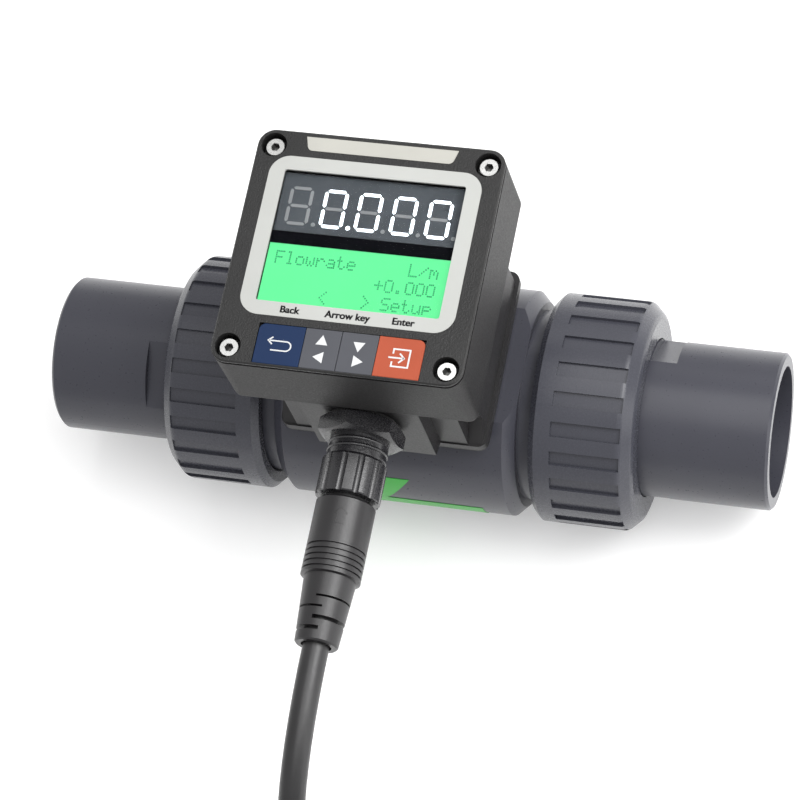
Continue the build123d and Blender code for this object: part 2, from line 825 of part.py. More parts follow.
def make_housing():
    """Rear housing of the head, drafted most below, with solid corners for the cover screws."""
    front = Pos(0, 0, housing_top) * RectangleRounded(head_width, head_width, head_corner)
    back_width = head_width - 2 * head_draft
    back_height = head_width - head_draft - head_lower_draft
    back_y = (head_lower_draft - head_draft) / 2
    back = Pos(0, back_y, housing_back) * RectangleRounded(back_width, back_height, head_back_corner)
    shell = loft([back, front])
    shell = fillet(shell.edges().group_by(Axis.Z)[0], housing_back_round)
    upper = Rectangle(2 * cavity_half_width, 2 * cavity_half_width)
    shell -= extrude(Pos(0, 0, seal_seat) * upper, amount=housing_top - seal_seat)
    for x, y in at_corners(screw_half, screw_half):
        post = rod_z(screw_post_radius, seal_seat, housing_top, x, y)
        shell += post & plate(head_width - 1, head_width - 1, head_corner, seal_seat, housing_top)
        shell -= rod_z(sleeve_radius + sleeve_clearance, sleeve_bottom - 0.2, housing_top, x, y)
        shell -= rod_z(cover_screw_radius, sleeve_bottom - cover_screw_length, sleeve_bottom, x, y)
    lower = Pos(0, 0, housing_seat) * cavity_outline(lower_half_width, screw_pocket_radius)
    shell -= extrude(lower, amount=seal_seat - housing_seat)
    for x, y in at_corners(standoff_x, standoff_y):
        shell += rod_z(standoff_radius, housing_seat, main_board_low, x, y)
        shell -= rod_z(board_screw_radius, main_board_low - board_screw_bite, main_board_low, x, y)
    for x, y in at_corners(boss_x, boss_y):
        shell -= rod_z(cover_screw_radius + sleeve_clearance, housing_back, housing_seat, x, y)
    shell -= rod_z(lead_hole_radius, housing_back, housing_seat)
    return shell


def make_head_gasket():
    """Gasket between the adapter and the back of the housing."""
    inset = head_gasket_inset
    outer = corner_plate(inset - tower_half_width, tower_half_width - inset, inset - tower_front,
                         tower_back - inset, 2, adapter_top, housing_back)
    inner_x = tower_half_width - tower_wall + inset
    return outer - corner_plate(-inner_x, inner_x, -tower_front + tower_wall - inset,
                                tower_back - tower_wall + inset, 2, adapter_top, housing_back)


def make_head_screws():
    """Screws from inside the housing into the adapter."""
    return group([cap_screw(cover_screw_radius, head_screw_length, head_screw_head_radius,
                            head_screw_head_height, cover_screw_hex, x, y, housing_seat)
                  for x, y in at_corners(boss_x, boss_y)])


def make_cover_seal():
    """Die-cut seal that the front cover presses on the housing, inside the cover screws."""
    outer = cavity_outline(cavity_half_width - 0.1, screw_post_radius + 0.1)
    inner = cavity_outline(lower_half_width, screw_pocket_radius)
    return extrude(Pos(0, 0, seal_seat) * (outer - inner), amount=cover_seal_thickness)


def make_bezel():
    """Front cover: thin rim over a shadow gap, spigot, screw sleeves, window openings and key recess."""
    cover = plate(head_width, head_width, head_corner, rim_low, face_height)
    cover = chamfer(cover.edges().group_by(Axis.Z)[-1], bezel_edge)
    neck = head_width - 2 * shadow_depth
    cover += plate(neck, neck, head_corner - shadow_depth, housing_top, rim_low)
    spigot = cavity_outline(cavity_half_width - spigot_clearance, screw_post_radius + spigot_clearance)
    cover += extrude(Pos(0, 0, spigot_bottom) * spigot, amount=spigot_depth)
    for x, y in at_corners(screw_half, screw_half):
        cover += rod_z(sleeve_radius, sleeve_bottom, housing_top, x, y)
        cover -= rod_z(counterbore_radius, face_height - counterbore_depth, face_height, x, y)
        cover -= rod_z(cover_screw_radius + sleeve_clearance, sleeve_bottom, face_height, x, y)
    for x, y in display_boss_places():
        cover += rod_z(display_boss_radius, display_board_top, spigot_bottom, x, y)
        cover -= rod_z(board_screw_radius, display_board_top, display_board_top + board_screw_bite, x, y)
    plate_x = plate_half_width + seat_margin
    cover -= corner_plate(-plate_x, plate_x, plate_bottom - seat_margin, plate_top + seat_margin,
                          plate_corner, plate_seat, face_height)
    lens_x = window_half_width + lens_margin + seat_margin
    lens_step = lens_margin + seat_margin
    cover -= corner_plate(-lens_x, lens_x, window_bottom - lens_step, window_top + lens_step,
                          window_corner, lens_seat, plate_seat)
    opening_x = module_half_width + module_clearance
    cover -= block(-opening_x, opening_x, bar_top, window_top + module_clearance, spigot_bottom, lens_seat)
    cover -= block(-opening_x, opening_x, window_bottom - module_clearance, bar_low, spigot_bottom, lens_seat)
    cover -= corner_plate(key_left - seat_margin, key_right + seat_margin, key_bottom - seat_margin,
                          key_top + seat_margin, 0.3, key_floor, face_height)
    for middle in key_middles():
        cover -= rod_z(stem_radius + stem_clearance, spigot_bottom, key_floor, middle, stem_y)
    return cover - label_solid(seat_margin, face_height + label_proud - label_thickness, face_height)


def label_solid(margin, z0, z1):
    """Flat label with slanted ends, wider at the top."""
    top = head_half - label_top_step
    low = top - label_height
    wide = head_half - label_side_step + margin
    points = [(-wide, top + margin), (label_slant - wide, low - margin),
              (wide - label_slant, low - margin), (wide, top + margin)]
    solid = extrude(Pos(0, 0, z0) * make_face(Polyline(*points, close=True)), amount=z1 - z0)
    lower = [e for e in solid.edges().filter_by(Axis.Z) if e.center().Y < low + 1]
    return fillet(lower, label_corner)


def make_label():
    """Blank label above the display."""
    low = face_height + label_proud - label_thickness
    return label_solid(0, low, low + label_thickness)


def make_cover_screws():
    """Stainless screws sunk deep in the corners of the cover."""
    seat = face_height - counterbore_depth
    return group([cap_screw(cover_screw_radius, cover_screw_length, cover_screw_head_radius,
                            cover_screw_head_height, cover_screw_hex, x, y, seat)
                  for x, y in at_corners(screw_half, screw_half)])


def make_frame_plate():
    """Pale plate with the window opening, set into the cover."""
    sheet = corner_plate(-plate_half_width, plate_half_width, plate_bottom, plate_top, plate_corner,
                         plate_seat, plate_seat + plate_thickness)
    return sheet - corner_plate(-window_half_width, window_half_width, window_bottom, window_top,
                                window_corner, plate_seat, plate_seat + plate_thickness)


def make_lens():
    """Clear window behind the frame plate."""
    lens_x = window_half_width + lens_margin
    return corner_plate(-lens_x, lens_x, window_bottom - lens_margin, window_top + lens_margin,
                        window_corner, lens_seat, plate_seat)


def make_led_module():
    """Block of five seven-segment digits, with a dark face."""
    return block(-module_half_width, module_half_width, bar_top + module_clearance, window_top,
                 display_board_top, module_front)


def segment(x, y, length, upright):
    """One bar of a digit, with pointed ends."""
    half, side = length / 2 - digit_bar_gap, digit_stroke / 2
    points = [(-half, 0), (-half + side, side), (half - side, side), (half, 0), (half - side, -side),
              (-half + side, -side)]
    face = make_face(Polyline(*points, close=True))
    turned = Rot(0, 0, 90) * face if upright else face
    return extrude(Pos(x, y, module_front) * turned, amount=segment_height)


def digit_bars(middle_x, bars):
    """Bars of one digit. The names a to g run clockwise from the top, with g in the middle."""
    wide = digit_width - digit_stroke
    tall = (digit_height - digit_stroke) / 2
    middle_y = bar_top + digit_margin_bottom + digit_height / 2
    places = {
        "a": (0, tall, wide, False), "b": (wide / 2, tall / 2, tall, True),
        "c": (wide / 2, -tall / 2, tall, True), "d": (0, -tall, wide, False),
        "e": (-wide / 2, -tall / 2, tall, True), "f": (-wide / 2, tall / 2, tall, True),
        "g": (0, 0, wide, False),
    }
    return [segment(middle_x + places[b][0], middle_y + places[b][1], *places[b][2:]) for b in bars]


def digit_point(middle_x):
    """Decimal point at the foot of a digit."""
    return rod_z(point_radius, module_front, module_front + segment_height,
                 middle_x + digit_width / 2 + point_gap, bar_top + digit_margin_bottom + point_radius)


def digit_middles():
    """X of the middle of each digit, left to right."""
    return [(k - (digit_count - 1) / 2) * digit_pitch - digit_shift for k in range(digit_count)]


def make_lit_bars():
    """Bars that shine: a zero in the second to the fifth place, and the point after the second."""
    solids = []
    for middle in digit_middles()[1:]:
        solids += digit_bars(middle, "abcdef")
    return group(solids + [digit_point(digit_middles()[1])])


def make_dim_bars():
    """Bars that are off but still show pale in the dark face."""
    middles = digit_middles()
    solids = digit_bars(middles[0], "abcdefg")
    for middle in middles[1:]:
        solids += digit_bars(middle, "g")
    points = [digit_point(middle) for k, middle in enumerate(middles) if k != 1]
    return group(solids + points)


def make_lcd_body():
    """Backlight block of the lower display."""
    return block(-module_half_width, module_half_width, window_bottom, bar_low - module_clearance,
                 display_board_top, module_front - lcd_glass)


def make_lcd_screen():
    """Green glass of the lower display."""
    return block(-module_half_width, module_half_width, window_bottom, bar_low - module_clearance,
                 module_front - lcd_glass, module_front)


# Keys

def key_middles():
    """X of the middle of each key."""
    return [(a + b) / 2 for a, b in zip(key_edges, key_edges[1:])]


def make_key(index):
    """One key with its stem. The outer keys have one round corner at the top."""
    left, right = key_edges[index] + key_gap / 2, key_edges[index + 1] - key_gap / 2
    top = face_height - key_setback
    cap = block(left, right, key_bottom, key_top, top - key_thickness, top)
    outer_x = {0: left, len(key_edges) - 2: right}.get(index)
    if outer_x is not None:
        corner = [e for e in cap.edges().filter_by(Axis.Z)
                  if abs(e.center().X - outer_x) < 0.01 and e.center().Y > stem_y]
        cap = fillet(corner, key_corner)
    cap = chamfer(cap.edges().group_by(Axis.Z)[-1], key_edge)
    return cap + rod_z(stem_radius, stem_end, top - key_thickness, key_middles()[index], stem_y)


def make_key_switches():
    """Push switches under the key stems."""
    high = stem_end - key_travel - switch_gap
    shoulder = high - switch_button_height
    half = switch_size / 2
    solids = []
    for middle in key_middles():
        body = block(middle - half, middle + half, stem_y - half, stem_y + half, display_board_top, shoulder)
        solids.append(body + rod_z(switch_button_radius, shoulder, high, middle, stem_y))
    return group(solids)


# Boards

def display_boss_places():
    """Screw places of the display board."""
    x = display_board_half_width - display_boss_inset
    low = display_board_step_y + display_boss_low_inset
    high = display_board_top_y - display_boss_high_inset
    return [(sx * x, y) for sx in (-1, 1) for y in (low, high)]


def make_display_board():
    """Board behind the displays and the keys."""
    board = block(-display_board_half_width, display_board_half_width, display_board_step_y,
                  display_board_top_y, display_board_low, display_board_top)
    board += block(-display_board_low_half_width, display_board_low_half_width, display_board_bottom_y,
                   display_board_step_y, display_board_low, display_board_top)
    for x, y in display_boss_places():
        hole = board_screw_radius + board_hole_clearance
        board -= rod_z(hole, display_board_low, display_board_top, x, y)
    return board


def pan_screw(x, y, seat, up):
    """Small pan-head screw."""
    screw = rod_z(board_screw_head_radius, 0, board_screw_head_height)
    screw = chamfer(screw.edges().group_by(Axis.Z)[-1], 0.5)
    screw -= Pos(0, 0, board_screw_head_height) * Box(0.6, 2.4, 1.2)
    screw += rod_z(board_screw_radius, board_screw_tip_gap - board_thickness - board_screw_bite, 0)
    return Pos(x, y, seat) * (screw if up else Rot(180, 0, 0) * screw)


def make_display_screws():
    """Screws that hold the display board to the cover."""
    return group([pan_screw(x, y, display_board_low, False) for x, y in display_boss_places()])


def make_main_board():
    """Board with the power supply and the outputs, on standoffs in the housing."""
    half = main_board_half_width
    board = block(-half, half, -half, half, main_board_low, main_board_top)
    for x, y in at_corners(standoff_x, standoff_y):
        board -= rod_z(board_screw_radius + board_hole_clearance, main_board_low, main_board_top, x, y)
    return board


def make_main_screws():
    """Screws that hold the main board."""
    return group([pan_screw(x, y, main_board_top, True) for x, y in at_corners(standoff_x, standoff_y)])


def make_board_parts():
    """Larger parts on the main board: two capacitors, a choke, a chip and a terminal block."""
    low = main_board_top
    room = display_board_low - main_board_top - board_part_headroom
    edge = main_board_half_width - board_part_inset
    front = terminal_inset - main_board_half_width
    return group([
        rod_z(capacitor_radius, low, low + room, -capacitor_x, capacitor_y),
        rod_z(capacitor_radius, low, low + room, -capacitor_x, capacitor_y + capacitor_pitch),
        block(-edge, choke_size - edge, -edge, choke_size - edge, low, low + room * 0.75),
        block(2, 2 + chip_size, -chip_size / 2 - 2, chip_size / 2 - 2, low, low + chip_height),
        block(0, terminal_length, front, front + terminal_depth, low, low + room * 0.8),
    ])


def make_board_link():
    """Header that joins the two boards."""
    half = board_link_length / 2
    high = main_board_half_width - board_link_inset
    return block(-half, half, high - board_link_width, high, main_board_top, display_board_low)


# Connector

def make_receptacle():
    """Panel part of the connector: hexagon, threaded barrel and rear thread."""
    tube = turned_y([
        (rear_bore, rear_end), (rear_thread_radius, rear_end), (rear_thread_radius, hex_start),
        (neck_radius, hex_start), (neck_radius, neck_end - neck_edge), (neck_radius - neck_edge, neck_end),
        (barrel_radius, neck_end), (barrel_radius, barrel_end - barrel_edge),
        (barrel_radius - barrel_edge, barrel_end), (barrel_bore, barrel_end), (barrel_bore, barrel_floor),
        (rear_bore, barrel_floor),
    ])
    flat = hex_across_flats / 2
    prism = extrude(RegularPolygon(flat, 6, major_radius=False), amount=hex_length)
    prism = Pos(0, -hex_start, connector_height) * Rot(90, 0, 0) * Rot(0, 0, 30 + hex_turn) * prism
    corner = hex_across_flats / math.sqrt(3) + 0.1
    crown = turned_y([
        (0, hex_start), (flat - hex_edge / 2, hex_start), (corner, hex_start + hex_edge),
        (corner, hex_end - hex_edge), (flat - hex_edge / 2, hex_end), (0, hex_end),
    ])
    core = barrel_radius - 0.5
    head = (prism & crown) - turned_y([(0, hex_start), (core, hex_start), (core, hex_end), (0, hex_end)])
    return tube + head


def make_receptacle_washer():
    """Sealing washer behind the hexagon."""
    hole = rear_thread_radius + 0.1
    return turned_y([(hole, column_front), (washer_radius, column_front), (washer_radius, hex_start),
                     (hole, hex_start)])


def make_lock_nut():
    """Nut inside the adapter that holds the panel part."""
    prism = extrude(RegularPolygon(lock_nut_across_flats / 2, 6, major_radius=False), amount=lock_nut_length)
    inside = column_front - column_wall
    prism = Pos(0, -inside + lock_nut_length, connector_height) * Rot(90, 0, 0) * prism
    return prism - rod_y(rear_thread_radius, -inside, -inside + lock_nut_length, 0, connector_height)


def pin_places():
    """Contact places about the connector axis, as (x, z)."""
    turns = [math.radians(270 - pin_arc / 2 + k * pin_arc / (pin_count - 1)) for k in range(pin_count)]
    return [(pin_circle * math.cos(t), connector_height + pin_circle * math.sin(t)) for t in turns]


def make_contact_carrier():
    """Insulator that holds the contacts."""
    low = rear_end + carrier_inset
    carrier = turned_y([(0, low), (rear_bore, low), (rear_bore, barrel_floor), (0, barrel_floor)])
    return carrier - [rod_y(pin_radius, -barrel_floor, -low, x, z) for x, z in pin_places()]


def make_contacts():
    """Contact pins."""
    low, high = rear_end - carrier_inset, barrel_floor + pin_out
    return group([rod_y(pin_radius, -high, -low, x, z) for x, z in pin_places()])


def make_coupling_nut():
    """Fluted nut that pulls the plug onto the panel part."""
    bore = barrel_radius + coupling_clearance
    hole = plug_neck_radius + coupling_clearance
    nut = turned_y([
        (bore, coupling_start), (coupling_radius - coupling_edge, coupling_start),
        (coupling_radius, coupling_start + coupling_edge), (coupling_radius, coupling_end - coupling_edge),
        (coupling_radius - coupling_edge, coupling_end), (hole, coupling_end), (hole, coupling_seat),
        (bore, coupling_seat),
    ])
    reach = coupling_radius + flute_radius - flute_depth
    for k in range(coupling_flutes):
        turn = math.radians((k + 0.5) * 360 / coupling_flutes + coupling_turn)
        nut -= rod_y(flute_radius, -coupling_end - 1, -coupling_start + 1, reach * math.cos(turn),
                     connector_height + reach * math.sin(turn))
    return nut


def relief_slot(out, width, side):
    """Slot halfway round the strain relief, on one side."""
    low, high = out - width / 2, out + width / 2
    root = relief_end_radius - slot_depth
    ring = turned_y([(root, low), (plug_radius, low), (plug_radius, high), (root, high)])
    x0, x1 = sorted((-side * slot_overlap, side * (plug_radius + 1)))
    return ring & block(x0, x1, -out - width, -out + width, connector_height - plug_radius - 1,
                        connector_height + plug_radius + 1)


def make_plug():
    """Moulded plug with grip rings and a slotted strain relief, in one piece."""
    nose_end = barrel_floor + plug_nose_gap
    collar_low, collar_high = barrel_end + 0.2, coupling_seat - plug_collar_gap
    outline = [
        (0, nose_end), (plug_nose_radius, nose_end), (plug_nose_radius, collar_low),
        (plug_collar_radius, collar_low), (plug_collar_radius, collar_high), (plug_neck_radius, collar_high),
        (plug_neck_radius, plug_body_start), (plug_radius - plug_edge, plug_body_start),
        (plug_radius, plug_body_start + plug_edge),
    ]
    for k in range(plug_ring_count):
        low = column_front + plug_ring_station + k * plug_ring_pitch - plug_ring_width / 2
        outline += [(plug_radius, low), (plug_radius - plug_ring_depth, low + 0.2),
                    (plug_radius - plug_ring_depth, low + plug_ring_width - 0.2),
                    (plug_radius, low + plug_ring_width)]
    recess = cable_radius + relief_mouth_gap
    outline += [
        (plug_radius, relief_start - 0.4), (plug_radius - relief_step, relief_start),
        (relief_end_radius, relief_end - relief_edge), (relief_end_radius - relief_edge, relief_end),
        (recess, relief_end), (recess, cable_start), (0, cable_start),
    ]
    plug = turned_y(outline)
    plug -= [rod_y(pin_radius + 0.05, -barrel_floor - pin_out - 1, -barrel_floor, x, z)
             for x, z in pin_places()]
    for k, (out, width) in enumerate(zip(slot_stations, slot_widths)):
        plug -= relief_slot(column_front + out, width, 1 if k % 2 == 0 else -1)
    return plug


# Cable, with its spare length wound in a coil on the surface below

def cable_points():
    """Route of the cable from the plug to the coil: out, down, and along the surface."""
    return [
        (0, -cable_start, connector_height), (0, -170, connector_height), (0, -208, 38), (-3, -226, -6),
        (-8, -262, cable_floor), (-16, -308, cable_floor),
    ]


def rounded_path(points):
    """Straight runs joined by tangent arcs as large as the two runs at each corner allow."""
    corners = [Vector(*p) for p in points]
    radii = []
    for a, b, c in zip(corners, corners[1:], corners[2:]):
        turn = math.radians((b - a).get_angle(c - b))
        radii.append(0.45 * min((b - a).length, (c - b).length) / math.tan(turn / 2))
    print("cable radii", [round(r, 1) for r in radii])
    return FilletPolyline(*points, radius=radii)


def tube_along(points, radius):
    """Round tube along a route."""
    path = rounded_path(points)
    start = Plane(origin=points[0], z_dir=Vector(*points[1]) - Vector(*points[0]))
    tube = sweep(start * Circle(radius), path=path)
    print("tube volume", round(tube.volume, 1), "expected", round(path.length * math.pi * radius ** 2, 1),
          "length", round(path.length, 1))
    return tube


def coil_centre():
    """Centre of the coil, beside the line that the cable arrives on."""
    end, before = Vector(*cable_points()[-1]), Vector(*cable_points()[-2])
    heading = (end - before).normalized()
    outer = coil_radius + coil_wraps_wide * cable_radius
    reach = math.sqrt(outer ** 2 - coil_radius ** 2)
    sideways = Vector(heading.Y, -heading.X, 0)
    return end + heading * reach + sideways * coil_radius


def make_cable():
    """Cable from the plug to the coil."""
    return tube_along(cable_points(), cable_radius)


def make_coil():
    """Outer shape of the wound spare length."""
    wide = 2 * cable_radius * coil_wraps_wide
    high = 2 * cable_radius * coil_wraps_high
    low = floor_height + tie_thickness
    section = Plane.XZ * Pos(coil_radius, low + high / 2) * RectangleRounded(wide, high, cable_radius * 0.9)
    centre = coil_centre()
    return Pos(centre.X, centre.Y, 0) * revolve(section, axis=Axis.Z)


def make_tie():
    """Band round one side of the coil."""
    wide = 2 * cable_radius * coil_wraps_wide
    high = 2 * cable_radius * coil_wraps_high
    middle = Pos(coil_radius, floor_height + tie_thickness + high / 2)
    grow = 2 * tie_thickness
    outer = RectangleRounded(wide + grow, high + grow, cable_radius * 0.9 + tie_thickness)
    band = middle * outer - middle * RectangleRounded(wide, high, cable_radius * 0.9)
    angle = math.degrees(tie_width / coil_radius)
    tie = revolve(Plane.XZ * band, axis=Axis.Z, revolution_arc=angle)
    centre = coil_centre()
    return Pos(centre.X, centre.Y, 0) * Rot(0, 0, tie_turn) * tie


def tail_points():
    """Short free end that leaves the coil on the far side from the cable's way in."""
    centre = coil_centre()
    edge = coil_radius + coil_wraps_wide * cable_radius
    reach = math.sqrt(edge ** 2 - coil_radius ** 2)
    x, y = centre.X - coil_radius, centre.Y + reach - 4
    return [(x, y, cable_floor), (x - 1, y + tail_length / 2, cable_floor),
            (x - 6, y + tail_length, cable_floor)]


def make_tail():
    """Free end of the cable beyond the coil."""
    return tube_along(tail_points(), cable_radius)


def make_cores():
    """Bare leads at the end of the cable."""
    points = tail_points()
    heading = Vector(*points[-1]) - Vector(*points[-2])
    face = Plane(origin=points[-1], z_dir=heading)
    turns = [math.radians(k * 360 / core_count) for k in range(core_count)]
    circle = cable_radius * 0.5
    return group([face * Pos(circle * math.cos(t), circle * math.sin(t), 0)
                  * Cylinder(core_radius, core_length, align=BOTTOM) for t in turns])


makers = {
    "meter_body": make_body,
    "inlet_end_connector": lambda: make_end_connector(1),
    "outlet_end_connector": lambda: make_end_connector(-1),
    "inlet_union_nut": lambda: make_union_nut(1),
    "outlet_union_nut": lambda: make_union_nut(-1),
    "inlet_face_seal": lambda: make_face_seal(1),
    "outlet_face_seal": lambda: make_face_seal(-1),
    "flow_arrow": make_flow_arrow,
    "sensor_insert": make_insert,
    "insert_seal": make_insert_seal,
    "wheel_blades": make_blades,
    "wheel_disc_back": lambda: make_disc(1),
    "wheel_disc_front": lambda: make_disc(-1),
    "wheel_magnets": make_magnets,
    "wheel_bushes": make_bushes,
    "wheel_axle": make_axle,
    "hall_sensor": make_hall_sensor,
    "sensor_board": make_sensor_board,
    "sensor_socket": make_sensor_socket,
    "adapter_gasket": make_adapter_gasket,
    "adapter_base": make_adapter,
    "adapter_screws": make_adapter_screws,
    "head_gasket": make_head_gasket,
    "rear_housing": make_housing,
    "head_screws": make_head_screws,
    "cover_seal": make_cover_seal,
    "front_cover": make_bezel,
    "cover_screws": make_cover_screws,
    "blank_label": make_label,
    "frame_plate": make_frame_plate,
    "display_window": make_lens,
    "digit_module": make_led_module,
    "lit_bars": make_lit_bars,
    "dim_bars": make_dim_bars,
    "lcd_body": make_lcd_body,
    "lcd_screen": make_lcd_screen,
    "back_key": lambda: make_key(0),
    "left_arrow_key": lambda: make_key(1),
    "right_arrow_key": lambda: make_key(2),
    "enter_key": lambda: make_key(3),
    "key_switches": make_key_switches,
    "display_board": make_display_board,
    "display_board_screws": make_display_screws,
    "main_board": make_main_board,
    "main_board_screws": make_main_screws,
    "main_board_parts": make_board_parts,
    "board_link": make_board_link,
    "receptacle": make_receptacle,
    "receptacle_washer": make_receptacle_washer,
    "receptacle_lock_nut": make_lock_nut,
    "contact_carrier": make_contact_carrier,
    "contact_pins": make_contacts,
    "coupling_nut": make_coupling_nut,
    "cable_plug": make_plug,
    "sensor_cable": make_cable,
    "cable_coil": make_coil,
    "cable_tie": make_tie,
    "cable_tail": make_tail,
    "cable_cores": make_cores,
}

os.makedirs("parts", exist_ok=True)
for name, make in makers.items():
    export_step(Pos(mid_x, 0, 0) * make(), f"parts/{name}.step")
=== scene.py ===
import math

import bmesh
import bpy
from mathutils import Matrix, Vector


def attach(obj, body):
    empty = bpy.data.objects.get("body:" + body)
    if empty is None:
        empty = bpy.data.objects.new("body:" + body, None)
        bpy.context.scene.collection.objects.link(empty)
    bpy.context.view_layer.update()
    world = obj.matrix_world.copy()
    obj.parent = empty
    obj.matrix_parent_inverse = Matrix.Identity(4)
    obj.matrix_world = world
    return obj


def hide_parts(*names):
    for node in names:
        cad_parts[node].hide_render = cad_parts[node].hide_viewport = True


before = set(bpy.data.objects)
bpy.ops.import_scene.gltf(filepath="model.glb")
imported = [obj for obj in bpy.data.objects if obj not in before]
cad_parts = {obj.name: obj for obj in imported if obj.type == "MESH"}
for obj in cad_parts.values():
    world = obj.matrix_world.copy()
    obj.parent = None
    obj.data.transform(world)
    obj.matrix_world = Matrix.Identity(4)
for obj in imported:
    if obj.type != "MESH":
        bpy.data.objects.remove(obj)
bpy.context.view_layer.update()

# Lengths are in millimetres about the middle of the body, as the part was drawn.
MID_X = -141.0  # middle of the body, from the part's own origin
FLOOR_Z = -44.0
PLATE_Z = 124.05  # top of the pale frame plate
KEY_Z = 123.9  # top of the keys at rest
SCREW_TOP_Z = 122.0
WINDOW_BACK_Z = 121.75
MODULE_Z = 121.35  # front of the two displays
CONNECTOR_Z = 70.0
PLUG_R = 11.0
CABLE_R = 4.9


def P(x, y, z):
    """Point in metres in the part's frame, from millimetres about the middle of the body."""
    return Vector(((x + MID_X) / 1000, y / 1000, z / 1000))


# Camera, fitted to the photograph: degrees, millimetres and pixels

CAMERA_TURNS = (34.458, 64.640, -25.262)  # azimuth, elevation, roll
CAMERA_DISTANCE = 1313.56
CAMERA_RIGHT, CAMERA_UP = -7.908, -3.479
FOCAL_LENGTH = 3389.16
PICTURE_WIDTH = 800
SENSOR_WIDTH = 36


def make_camera():
    """Camera at the place fitted to the photograph."""
    az, el, roll = (math.radians(turn) for turn in CAMERA_TURNS)
    back = Vector((math.sin(az) * math.cos(el), -math.cos(az) * math.cos(el), math.sin(el)))
    right = Vector((math.cos(az), math.sin(az), 0))
    up = back.cross(right)
    turned_right = math.cos(roll) * right + math.sin(roll) * up
    turned_up = -math.sin(roll) * right + math.cos(roll) * up
    place = CAMERA_RIGHT * turned_right + CAMERA_UP * turned_up + CAMERA_DISTANCE * back
    data = bpy.data.cameras.new("camera")
    data.sensor_width = SENSOR_WIDTH
    data.lens = FOCAL_LENGTH / PICTURE_WIDTH * SENSOR_WIDTH
    data.clip_start = 0.05
    data.clip_end = 20
    camera = bpy.data.objects.new("camera", data)
    axes = Matrix((turned_right, turned_up, back)).transposed().to_4x4()
    camera.matrix_world = Matrix.Translation(P(*place)) @ axes
    bpy.context.scene.collection.objects.link(camera)
    bpy.context.scene.camera = camera


make_camera()


# Cable: the route of the part, then the turns of the coil, as one smooth line

route = [
    (0, -127.5, 70),
    (0, -170, 70),
    (0, -208, 38),
    (-3, -226, -6),
    (-8, -262, -39.1),
    (-16, -308, -39.1),
]
COIL_R = 52.0
COIL_TURNS = 5.5  # half of them in the lower layer, half on top
COIL_START = 22  # degrees past the point where the cable arrives
CROSS_REST = 0.4  # part of a turn at the end of a layer that no longer moves in or out
CLIMB_LEAD, CLIMB_TURN = 0.35, 0.5  # the climb starts this much early and takes this much of a turn
POINTS_PER_TURN = 16
TIE = 0.8


def coil_centre():
    """Centre of the coil, beside the line that the cable arrives on, and the way it arrives."""
    end, before = Vector(route[-1]), Vector(route[-2])
    heading = (end - before).normalized()
    outer = COIL_R + 3 * CABLE_R
    reach = math.sqrt(outer ** 2 - COIL_R ** 2)
    return end + heading * reach + Vector((heading.y, -heading.x, 0)) * COIL_R, heading


def coil_points(centre, heading):
    """Turns of the coil: inwards along the floor, then up and outwards on top of them."""
    pitch = 2 * CABLE_R
    low = FLOOR_Z + TIE + CABLE_R
    start = math.atan2(-heading.x, heading.y) + math.pi + math.radians(COIL_START)
    layer = COIL_TURNS / 2
    points = []
    for k in range(int(POINTS_PER_TURN * COIL_TURNS) + 1):
        turn = k / POINTS_PER_TURN
        if turn < layer:
            radius = COIL_R + pitch - pitch * 2 * min(1, turn / (layer - CROSS_REST))
        else:
            radius = COIL_R - pitch + pitch * 2 * min(1, (turn - layer) / (layer - CROSS_REST))
        climb = min(1, max(0, (turn - layer + CLIMB_LEAD) / CLIMB_TURN))
        angle = start - turn * 2 * math.pi
        points.append((centre.x + radius * math.cos(angle), centre.y + radius * math.sin(angle),
                       low + pitch * climb))
    return points


def tail_points(centre):
    """Free end, down from the top of the coil to the floor, where the bare leads come out."""
    x = centre.x - COIL_R
    floor = FLOOR_Z + CABLE_R
    high = floor + TIE + 2 * CABLE_R
    return [(x - 5.8, centre.y + 40, high - 2), (x - 1.4, centre.y + 64.8, floor + 1),
            (x - 5.3, centre.y + 84.3, floor), (x - 6.1, centre.y + 88.3, floor)]


def cable_line():
    """Control points of the whole cable: its route, the turns of the coil, and its free end."""
    centre, heading = coil_centre()
    arrival = tuple(Vector(route[-1]) - heading * 8)
    return route[:-1] + [arrival] + coil_points(centre, heading) + tail_points(centre)


def make_cable():
    """The cable as one curve with a round section."""
    data = bpy.data.curves.new("cable", "CURVE")
    data.dimensions = "3D"
    spline = data.splines.new("NURBS")
    points = cable_line()
    spline.points.add(len(points) - 1)
    for point, place in zip(spline.points, points):
        point.co = (*P(*place), 1)
    spline.order_u = 3
    spline.use_endpoint_u = True
    spline.resolution_u = 8
    data.bevel_depth = CABLE_R / 1000
    data.bevel_resolution = 6
    data.use_fill_caps = True
    cable = bpy.data.objects.new("cable", data)
    bpy.context.scene.collection.objects.link(cable)
    return cable


cable = make_cable()


# Materials: lengths in them, such as the depth of a relief, are in metres

NOISE_LOW, NOISE_HIGH = 0.3, 0.7  # a noise seldom leaves these limits


def material(name, color, roughness=0.5, metallic=0.0):
    """Shader with its own nodes, and the Principled node."""
    made = bpy.data.materials.new(name)
    made.use_nodes = True
    shader = made.node_tree.nodes["Principled BSDF"]
    shader.inputs["Base Color"].default_value = (*color, 1)
    shader.inputs["Roughness"].default_value = roughness
    shader.inputs["Metallic"].default_value = metallic
    return made, shader


def noise(made, scale, detail=3.0, roughness=0.55):
    """Noise in the piece's own space."""
    nodes = made.node_tree.nodes
    place = nodes.new("ShaderNodeTexCoord")
    node = nodes.new("ShaderNodeTexNoise")
    node.inputs["Scale"].default_value = scale
    node.inputs["Detail"].default_value = detail
    node.inputs["Roughness"].default_value = roughness
    made.node_tree.links.new(place.outputs["Object"], node.inputs["Vector"])
    return node.outputs["Fac"]


